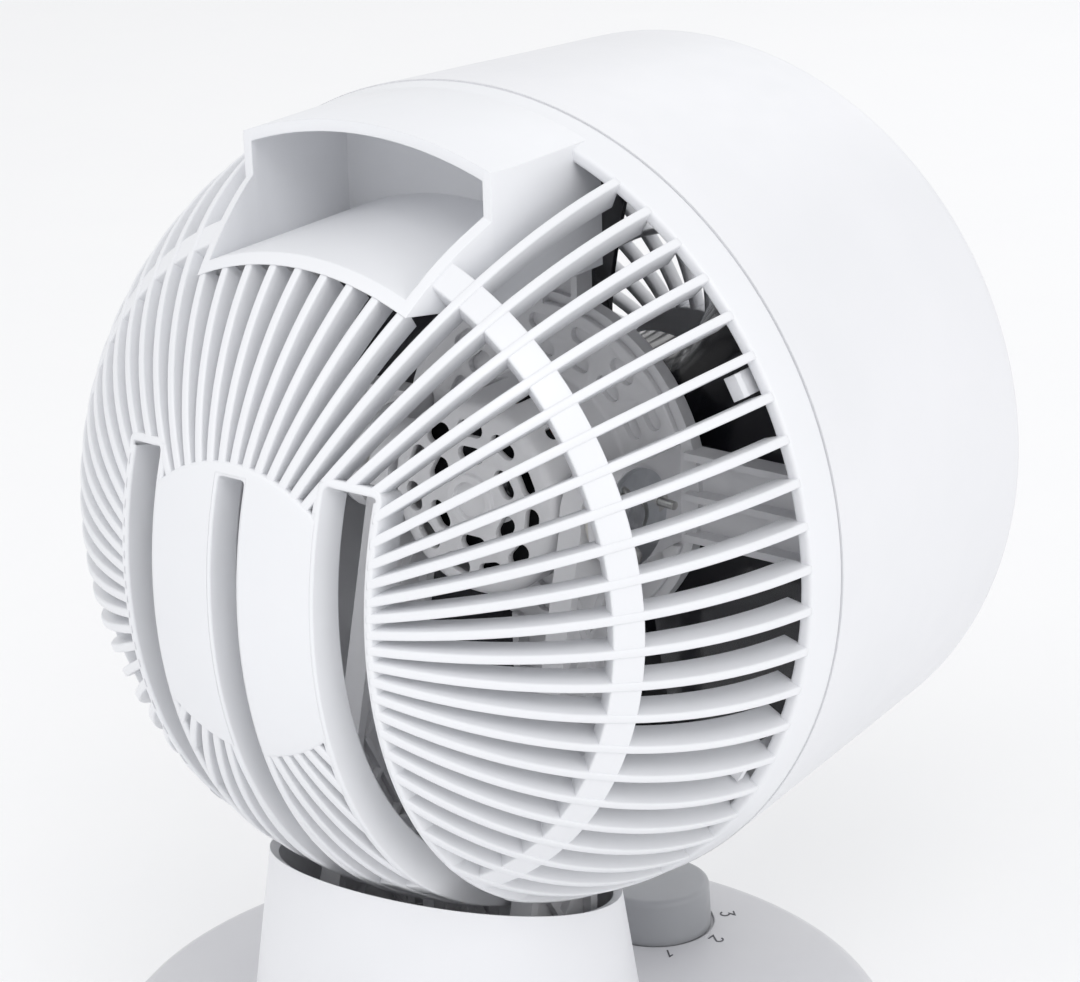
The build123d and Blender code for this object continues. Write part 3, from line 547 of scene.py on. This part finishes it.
def rib_runs():
    """Azimuth, first and last angle from the rear pole of every stretch of rib."""
    runs, lowest = [], PANEL_ANGLE - 1.0
    for k in range(RIBS):
        a = math.radians(90 + k * 360 / RIBS)
        end = RIB_END_DEG
        if math.sin(a) > 0 and abs(math.cos(a)) * RIB_TEST_R < GRIP_X:
            end = math.degrees(math.asin((FLOOR_R - 1.2) / DOME_R))
        begin = None
        count = int((end - lowest) / RIB_STEP_DEG)
        for i in range(count + 1):
            p = math.radians(lowest + i * RIB_STEP_DEG)
            x, s = DOME_R * math.sin(p) * math.cos(a), DOME_R * math.cos(p)
            h = DOME_R * math.sin(p) * math.sin(a)
            solid = not in_slot(x, s, h, -1.0)
            if solid and begin is None:
                begin = p
            if begin is not None and (not solid or i == count):
                if p - begin > math.radians(RIB_MIN_DEG):
                    runs.append((a, begin, p))
                begin = None
    return runs


def band(theta_0, theta_1, inner, outer, steps):
    """(radius, s) outline between two spheres and two angles from the rear pole."""
    rim = [math.radians(theta_0 + (theta_1 - theta_0) * k / steps) for k in range(steps + 1)]
    out = [(outer * math.sin(t), outer * math.cos(t)) for t in rim]
    return out + [(inner * math.sin(t), inner * math.cos(t)) for t in reversed(rim)]


def slot_tool(left, right, top, name, margin):
    """Straight cutter for one slot that stops inside its border walls, a margin in mm past their faces."""
    left, right, top = left - margin, right + margin, top + math.degrees(margin / DOME_R)
    c, s = math.cos(math.radians(top)), math.sin(math.radians(top))
    outline = [(85 * c, 85 * s), (140 * c, 140 * s), (150, -150), (0, -150), (0, -85), (60, -60)]
    return prism(name, outline, left, right, "X")


def slot_tools(margin=BORDER_T / 2):
    return [slot_tool(*slot, f"slot_tool_{i}", margin) for i, slot in enumerate(SLOTS)]


runs = rib_runs()
ribs = grow("rear_ribs", rib_tree, rib_keys,
            spots("rib_spots", [(0, 0, 0)] * len(runs), azimuth=[r[0] for r in runs],
                  first=[r[1] for r in runs], last=[r[2] for r in runs]),
            Mid_radius=(RIB_IN_R + RIB_OUT_R) / 2 * MM, Depth=(RIB_OUT_R - RIB_IN_R) * MM,
            Thickness=RIB_T * MM,
            Edge_radius=0.5 * MM, Centre=PIVOT, Steps=26, Finish=FINISH["white_grille"])
carve(ribs, slot_tools())
dress(soften(ribs, 50), "white_grille", "head")

rim_out = math.sqrt(DOME_R ** 2 - RIM_END_S ** 2)
rim = lathe("rim", rounded([(104.0, SEAM_S), (DOME_R - 0.2, SEAM_S), (rim_out, RIM_END_S),
                            (102.2, RIM_END_S), (101.8, 0.0), (104.0, 0.0)],
                           [0, 0.5, 1.2, 1.0, 0.5, 0.5]), steps=180)
ring_outline = rounded(band(*RING, *RING_R, 3), [0.6, 0, 0, 0.6, 0.5, 0, 0, 0.5])
ring_piece = lathe("ring", ring_outline, steps=180)
cap_outline = band(0, PANEL_ANGLE, DOME_R - 3.2, DOME_R, 10)
cap_outline = rounded(cap_outline, [0] * 10 + [1.2, 0.8] + [0] * 10)
panel = lathe("panel", cap_outline, steps=120)
# The ring stops at the sides of the grip.
cheek_x = GRIP_X - 5
carve(ring_piece, [prism("grip_gap", [(-cheek_x, 0), (cheek_x, 0), (cheek_x, 120), (-cheek_x, 120)],
                         30, 130, "Z")])
walls = [soften(carve(rim, slot_tools())), soften(carve(ring_piece, slot_tools())),
         soften(carve(panel, slot_tools(PANEL_CUT)))]

# Slot borders: one deep wall down each side of a slot and round its top end, swept along the dome.
MID_R = (BORDER_IN_R + DOME_R - 0.1) / 2


def border_path(left, right, top):
    """Middle line of a border in metres, from rim to rim round the slot's top end."""
    x0, x1 = left - BORDER_T / 2, right + BORDER_T / 2
    high = top * MID_R * math.pi / 180 + BORDER_T / 2
    low = -math.degrees(math.acos(8.5 / DOME_R)) * MID_R * math.pi / 180
    rows = [v for v in (low + (high - low) * k / 60 for k in range(61)) if v < high - 3]
    corner = rounded([(x0, low), (x0, high), (x1, high), (x1, low)], [0, 2.6, 2.6, 0], 6)
    line = [(x0, v) for v in rows] + corner[1:-1] + [(x1, v) for v in reversed(rows)]
    out = []
    for x, v in line:
        flat, turn = math.sqrt(MID_R ** 2 - x ** 2), v / MID_R
        out.append(PIVOT + Vector((x, flat * math.cos(turn), flat * math.sin(turn))) * MM)
    return out


points, links = [], []
for slot in SLOTS:
    line = border_path(*slot)
    links += [(len(points) + k, len(points) + k + 1) for k in range(len(line) - 1)]
    points += line
lines = bpy.data.meshes.new("border_lines")
lines.from_pydata([tuple(p) for p in points], links, [])
borders = grow("slot_borders", wall_tree, wall_keys, lines, Thickness=BORDER_T * MM,
               Depth=(DOME_R - 0.1 - BORDER_IN_R) * MM, Edge_radius=0.7 * MM, Centre=PIVOT,
               Finish=FINISH["white_grille"])
dress(soften(borders, 40), "white_grille", "head")
dress(join("rear_rim_ring_panel", walls), "white_grille", "head", "rear_cover")

# Grip: a hooded block turned about the outlet axis, trimmed to width, then hollowed for the fingers.
hood_arc = [(DOME_R * math.cos(t), DOME_R * math.sin(t)) for t in
            (math.asin(LIP_S / DOME_R) + k * (math.acos((FLOOR_R - FLOOR_T) / DOME_R)
                                             - math.asin(LIP_S / DOME_R)) / 8 for k in range(9))]
hood = lathe("hood", [(FLOOR_R - FLOOR_T, SEAM_S), (LIP_R, SEAM_S), (LIP_R, LIP_S), *hood_arc], steps=30,
             start=-33, end=33)
trim = [(-GRIP_X, -10), (GRIP_X, -10), (GRIP_X, 46), (HOOD_TIP_X, 88.5), (-HOOD_TIP_X, 88.5), (-GRIP_X, 46)]
carve(hood, [prism("trim", rounded(trim, [0, 0, 6, 0, 0, 6], 3), 40, 130, "Z")], "INTERSECT")
hollow = lathe("hollow", [(FLOOR_R, POCKET_S), (LIP_R - LIP_T, POCKET_S), (LIP_R - LIP_T, LIP_S), (140, LIP_S),
                          (140, 110), (FLOOR_R, 110)], steps=41, start=-45, end=45)
plan = rounded([(-36, POCKET_S - 2), (-36, 46), (-28, 80), (-24, 130), (24, 130), (28, 80), (36, 46),
                (36, POCKET_S - 2)], [0, 6, 3, 0, 0, 3, 6, 0])
carve(hollow, [prism("plan", plan, 30, 150, "Z")], "INTERSECT")
carve(hood, [hollow])
dress(ease(hood, 1.1, 3, 30, 0.15), "white_grille", "head")


# ---------------- outlet grille ----------------
mid_s = GRILLE_S + GRILLE_DEPTH / 2
vanes = grow("outlet_vanes", vane_tree, vane_keys, spots("vane_spots", [(0, 0, 0)]),
             Count=VANES, Depth=(GRILLE_DEPTH - 0.1) * MM, Thickness=1.7 * MM, Edge_radius=0.7 * MM,
             Centre=PIVOT + Vector((0, mid_s * MM, 0)), Start=Vector((23.5, 0, 0)) * MM,
             Middle=Vector((56.0, 0, -15.5)) * MM,
             End=Vector((89.0 * math.cos(0.522), 0, -89.0 * math.sin(0.522))) * MM,
             Finish=FINISH["white_grille"])
dress(vanes, "white_grille", "head")
s0, s1 = GRILLE_S, GRILLE_S + GRILLE_DEPTH
hoops = [soften(lathe(f"hoop_{i}", rounded([(a, s0), (b, s0), (b, s1), (a, s1)], 0.7, 3), steps=144))
         for i, (a, b) in enumerate(((88.0, 93.4), (45.1, 46.9), (66.6, 68.4)))]
hub = lathe("hub_disc", rounded([(0, s0), (24.5, s0), (24.5, s1), (0, s1)], [0, 0.7, 0.7, 0], 3), steps=96)
hoops.append(soften(hub))
dress(join("outlet_hoops", hoops), "white_grille", "head", "front_grille")
cap = lathe("front_cap_dome", [(0, -96.9), (6, -96.85), (12, -96.6), (18, -96.0), (22, -95.2), (24.2, -94.4),
                               (25.0, -93.6), (24.9, -92.9), (24.5, -92.8), (0, -92.8)], steps=96)
dress(soften(cap, 45), "white_abs", "head", "front_cap")


# ---------------- motor cover ----------------
s_flange = FRAME_S[1]
cup_outline = [(44.5, s_flange), (44.5, s_flange + 2), (CUP_R, s_flange + 2), (CUP_R, CUP_END_S),
               (7.0, CUP_END_S), (7.0, CUP_END_S + 1.5), (5.0, CUP_END_S + 1.5), (5.0, CUP_END_S),
               (0, CUP_END_S), (0, CUP_END_S - 2), (CUP_R - 2, CUP_END_S - 2), (CUP_R - 2, s_flange)]
cup_edges = [0.5, 0.6, 1.2, 3.5, 0.4, 0.5, 0.3, 0.2, 0, 0, 2.0, 0.2]
cup = lathe("motor_cover_blank", rounded(cup_outline, cup_edges, 4), steps=120)
reliefs = [prism(f"relief_{side}", [(-25, -14), (-10, -14), (-10, 14), (-25, 14)],
                 min(side * 36.5, side * 50), max(side * 36.5, side * 50), "X") for side in (-1, 1)]
carve(cup, reliefs)
places, aims = [], []
for radius, count in ((12.0, 6), (19.0, 11)):
    for k in range(count):
        a = 2 * math.pi * k / count
        places.append(PIVOT + Vector((radius * math.sin(a), CUP_END_S - 1, radius * math.cos(a))) * MM)
        aims.append((math.pi / 2, a, 0))
for k in range(18):
    if min(abs(k * 20 - c) for c in (90, 270)) > 25:
        for radius in (32.0, 39.0):
            a = math.radians(k * 20)
            places.append(PIVOT + Vector((radius * math.sin(a), s_flange + 1, radius * math.cos(a))) * MM)
            aims.append((math.pi / 2, a, 0))
perforated = grow("motor_cover_faces", hole_tree, hole_keys, spots("pill_spots", places, aim=aims),
                  Length=8.0 * MM, Width=4.4 * MM, Depth=8 * MM, Body=cup, Finish=FINISH["inner_white"])
places, aims = [], []
for k in range(12):
    a = math.radians(15 + k * 30)
    places.append(PIVOT + Vector(((CUP_R - 1) * math.sin(a), -4, (CUP_R - 1) * math.cos(a))) * MM)
    aims.append((0, a, 0))
side_body = perforated
perforated = grow("motor_cover", hole_tree, hole_keys, spots("side_spots", places, aim=aims),
                  Length=3.6 * MM, Width=16 * MM, Depth=8 * MM, Body=side_body, Finish=FINISH["inner_white"])
bpy.data.objects.remove(cup)
bpy.data.objects.remove(side_body)
dress(ease(perforated, 0.3, 2, 40), "inner_white", "head", "motor_rear_cover")


# ---------------- fasteners ----------------
def screw(name, head_r, head_h, shank_r, shank, recess):
    """Pan-head screw with a crossed recess, standing on its seat at the origin and pointing up +Z."""
    outline = rounded([(0, head_h), (head_r * 0.55, head_h), (head_r, head_h * 0.35), (head_r, 0), (shank_r, 0),
                       (shank_r, -shank), (0, -shank)], [0, head_h * 0.6, head_h * 0.3, 0, 0, 0.2, 0], 3)
    piece = lathe(name, outline, "Z", Vector((0, 0, 0)), 28)
    half_l, half_w = head_r * 0.6, head_r * 0.13
    bars = [prism(f"{name}_bar_{k}", [(-a, -b), (a, -b), (a, b), (-a, b)], head_h - recess, head_h + 1,
                  "Z", Vector((0, 0, 0))) for k, (a, b) in enumerate(((half_l, half_w), (half_w, half_l)))]
    carve(piece, bars)
    return soften(piece)


def screw_row(name, pattern, places, aims, body, node):
    """Stands one screw at each place, turned by its aim, in place of a CAD node; the pattern is used up."""
    row = grow(name, screw_tree, screw_keys, spots(name + "_spots", places, aim=aims), Screw=pattern,
               Finish=FINISH["screw_steel"])
    bpy.data.objects.remove(pattern)
    dress(soften(row), "screw_steel", body, node)


places, aims = [], []
for side in (-1, 1):
    for angle in (50, 170, 290):
        a = math.radians(angle)
        places.append(PIVOT + Vector((side * 43.05, 9.6 * math.cos(a), 9.6 * math.sin(a))) * MM)
        aims.append((a, side * math.pi / 2, 0))
screw_row("pivot_screw_set", screw("pivot_screw", 2.9, 2.1, 1.15, 5.4, 0.8), places, aims,
          "head", "pivot_screws")
places, aims = [], []
for k in range(4):
    a = math.radians(90 * k)
    places.append(PIVOT + Vector((94.5 * math.sin(a), FRAME_S[0] + 2.2, 94.5 * math.cos(a))) * MM)
    aims.append((-math.pi / 2, 0.3 * k, 0))
screw_row("frame_screw_set", screw("frame_screw", 3.4, 2.0, 1.2, 9.0, 0.8), places, aims,
          "head", "frame_screws")
places, aims = [], []
for side in (-1, 1):
    for s in (14, 34):
        places.append(Vector((side * 22.5 * MM, PIVOT.y + s * MM, 52.05 * MM)))
        aims.append((0, 0, 0.4 * s))
screw_row("yoke_screw_set", screw("yoke_screw", 3.2, 1.9, 1.2, 10.5, 0.8), places, aims,
          "base", "yoke_screws")
places, aims = [], []
for k in range(4):
    a = math.radians(45 + 90 * k)
    places.append(Vector((92 * math.cos(a), 92 * math.sin(a), 4.3)) * MM)
    aims.append((math.pi, 0, a))
    a = math.radians(90 * k)
    places.append(Vector((33 * math.cos(a), 33 * math.sin(a) + NECK_Y / MM, 4.3)) * MM)
    aims.append((math.pi, 0, a + 0.5))
screw_row("base_screw_set", screw("base_screw", 3.3, 0.9, 1.2, 9.0, 0.5), places, aims,
          "base", "base_screws")


# ---------------- knob ----------------
knob_low, knob_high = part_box("speed_knob")
knob_r, knob_top = (knob_high.x - knob_low.x) / 2 / MM, knob_high.z / MM
knob_foot = knob_low.z / MM
knob_spot = Vector((KNOB.x, KNOB.y, 0))
# Skirt outside, then the hollow under it and the bore for the switch shaft.
knob_outline = [(0, knob_top), (knob_r - 0.5, knob_top), (knob_r, knob_foot), (12.8, knob_foot), (12.8, 24.6),
                (9.0, 24.6), (9.0, 26.0), (3.05, 26.0), (3.05, 32.5), (0, 32.5)]
knob = lathe("speed_knob_turned", rounded(knob_outline, [0, 1.9, 0.5, 0.3, 0, 0, 0, 0, 0, 0], 6), "Z",
             knob_spot, 96)
mark_low, mark_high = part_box("knob_pointer")
x0, x1, y0, y1 = (v / MM for v in (mark_low.x, mark_high.x, mark_low.y - KNOB.y, mark_high.y - KNOB.y))
carve(knob, [prism("mark_seat", [(x0, y0), (x1, y0), (x1, y1), (x0, y1)], knob_top - 0.6, knob_top + 1, "Z",
                   knob_spot)])
dress(soften(knob), "grey_knob", "knob", "speed_knob")


# ---------------- stage ----------------
# Matt pale sweep: a seamless paper backdrop with a faint tooth.
paper, tree, skin = blank("matt_backdrop_paper")
place = add(tree, "ShaderNodeTexCoord").outputs["Object"]
tooth = add(tree, "ShaderNodeTexNoise", {"Vector": place, "Scale": 1 / (60 * MM), "Detail": 4.0})
tone = add(tree, "ShaderNodeMix", {0: tooth.outputs[0], 6: linear("#FDFDFD"), 7: linear("#FBFBFC")},
           data_type="RGBA")
tree.links.new(tone.outputs[2], skin.inputs["Base Color"])
skin.inputs["Roughness"].default_value = 0.9
floor_mesh = bpy.data.meshes.new("floor")
bm = bmesh.new()
bmesh.ops.create_grid(bm, x_segments=8, y_segments=8, size=6)
bm.to_mesh(floor_mesh)
bm.free()
floor = make_object("studio_floor", floor_mesh)
floor.data.materials.append(paper)

world = bpy.data.worlds.new("studio")
world.use_nodes = True
world.node_tree.nodes["Background"].inputs[0].default_value = (0.985, 0.99, 1.0, 1)
world.node_tree.nodes["Background"].inputs[1].default_value = 0.86
scene.world = world


def lamp(name, place, aim_at, size, power, tint=(1, 1, 1)):
    data = bpy.data.lights.new(name, "AREA")
    data.shape, data.size, data.energy, data.color = "DISK", size, power, tint
    obj = bpy.data.objects.new(name, data)
    scene.collection.objects.link(obj)
    obj.location = place
    obj.rotation_euler = (Vector(aim_at) - Vector(place)).to_track_quat("-Z", "Y").to_euler()


lamp("key_softbox", (-0.75, 0.75, 1.25), (0, 0, 0.15), 0.7, 3.4)
lamp("back_fill", (0.35, 1.0, 1.1), (0, 0, 0.15), 0.7, 1.6)
lamp("side_fill", (-1.4, 0.2, 0.6), (0, 0, 0.15), 0.8, 2)
lamp("front_fill", (0.3, -1.4, 0.9), (0, 0, 0.15), 1.0, 1.5)

# ---------------- camera ----------------
AZIMUTH, ELEVATION, ROLL = 217.33, 20.24, -1.61
DISTANCE, LENS, AIM_HEIGHT, AIM_ASIDE, AIM_BACK = 900.0, 117.9, 174.4, 14.26, -0.5
a, e, r = (math.radians(v) for v in (AZIMUTH, ELEVATION, ROLL))
back = Vector((math.sin(a) * math.cos(e), -math.cos(a) * math.cos(e), math.sin(e)))
right = Vector((math.cos(a), math.sin(a), 0))
up = back.cross(right)
target = Vector((0, AIM_BACK, AIM_HEIGHT)) + right * AIM_ASIDE
right, up = right * math.cos(r) + up * math.sin(r), up * math.cos(r) - right * math.sin(r)
camera_data = bpy.data.cameras.new("camera")
camera_data.lens, camera_data.sensor_width = LENS, 36.0
camera_data.clip_start, camera_data.clip_end = 0.05, 30.0
camera = bpy.data.objects.new("camera", camera_data)
scene.collection.objects.link(camera)
where = Matrix((right, up, back)).transposed().to_4x4()
where.translation = (target + back * DISTANCE) * MM
camera.matrix_world = where
scene.camera = camera
scene.view_settings.view_transform = "Standard"
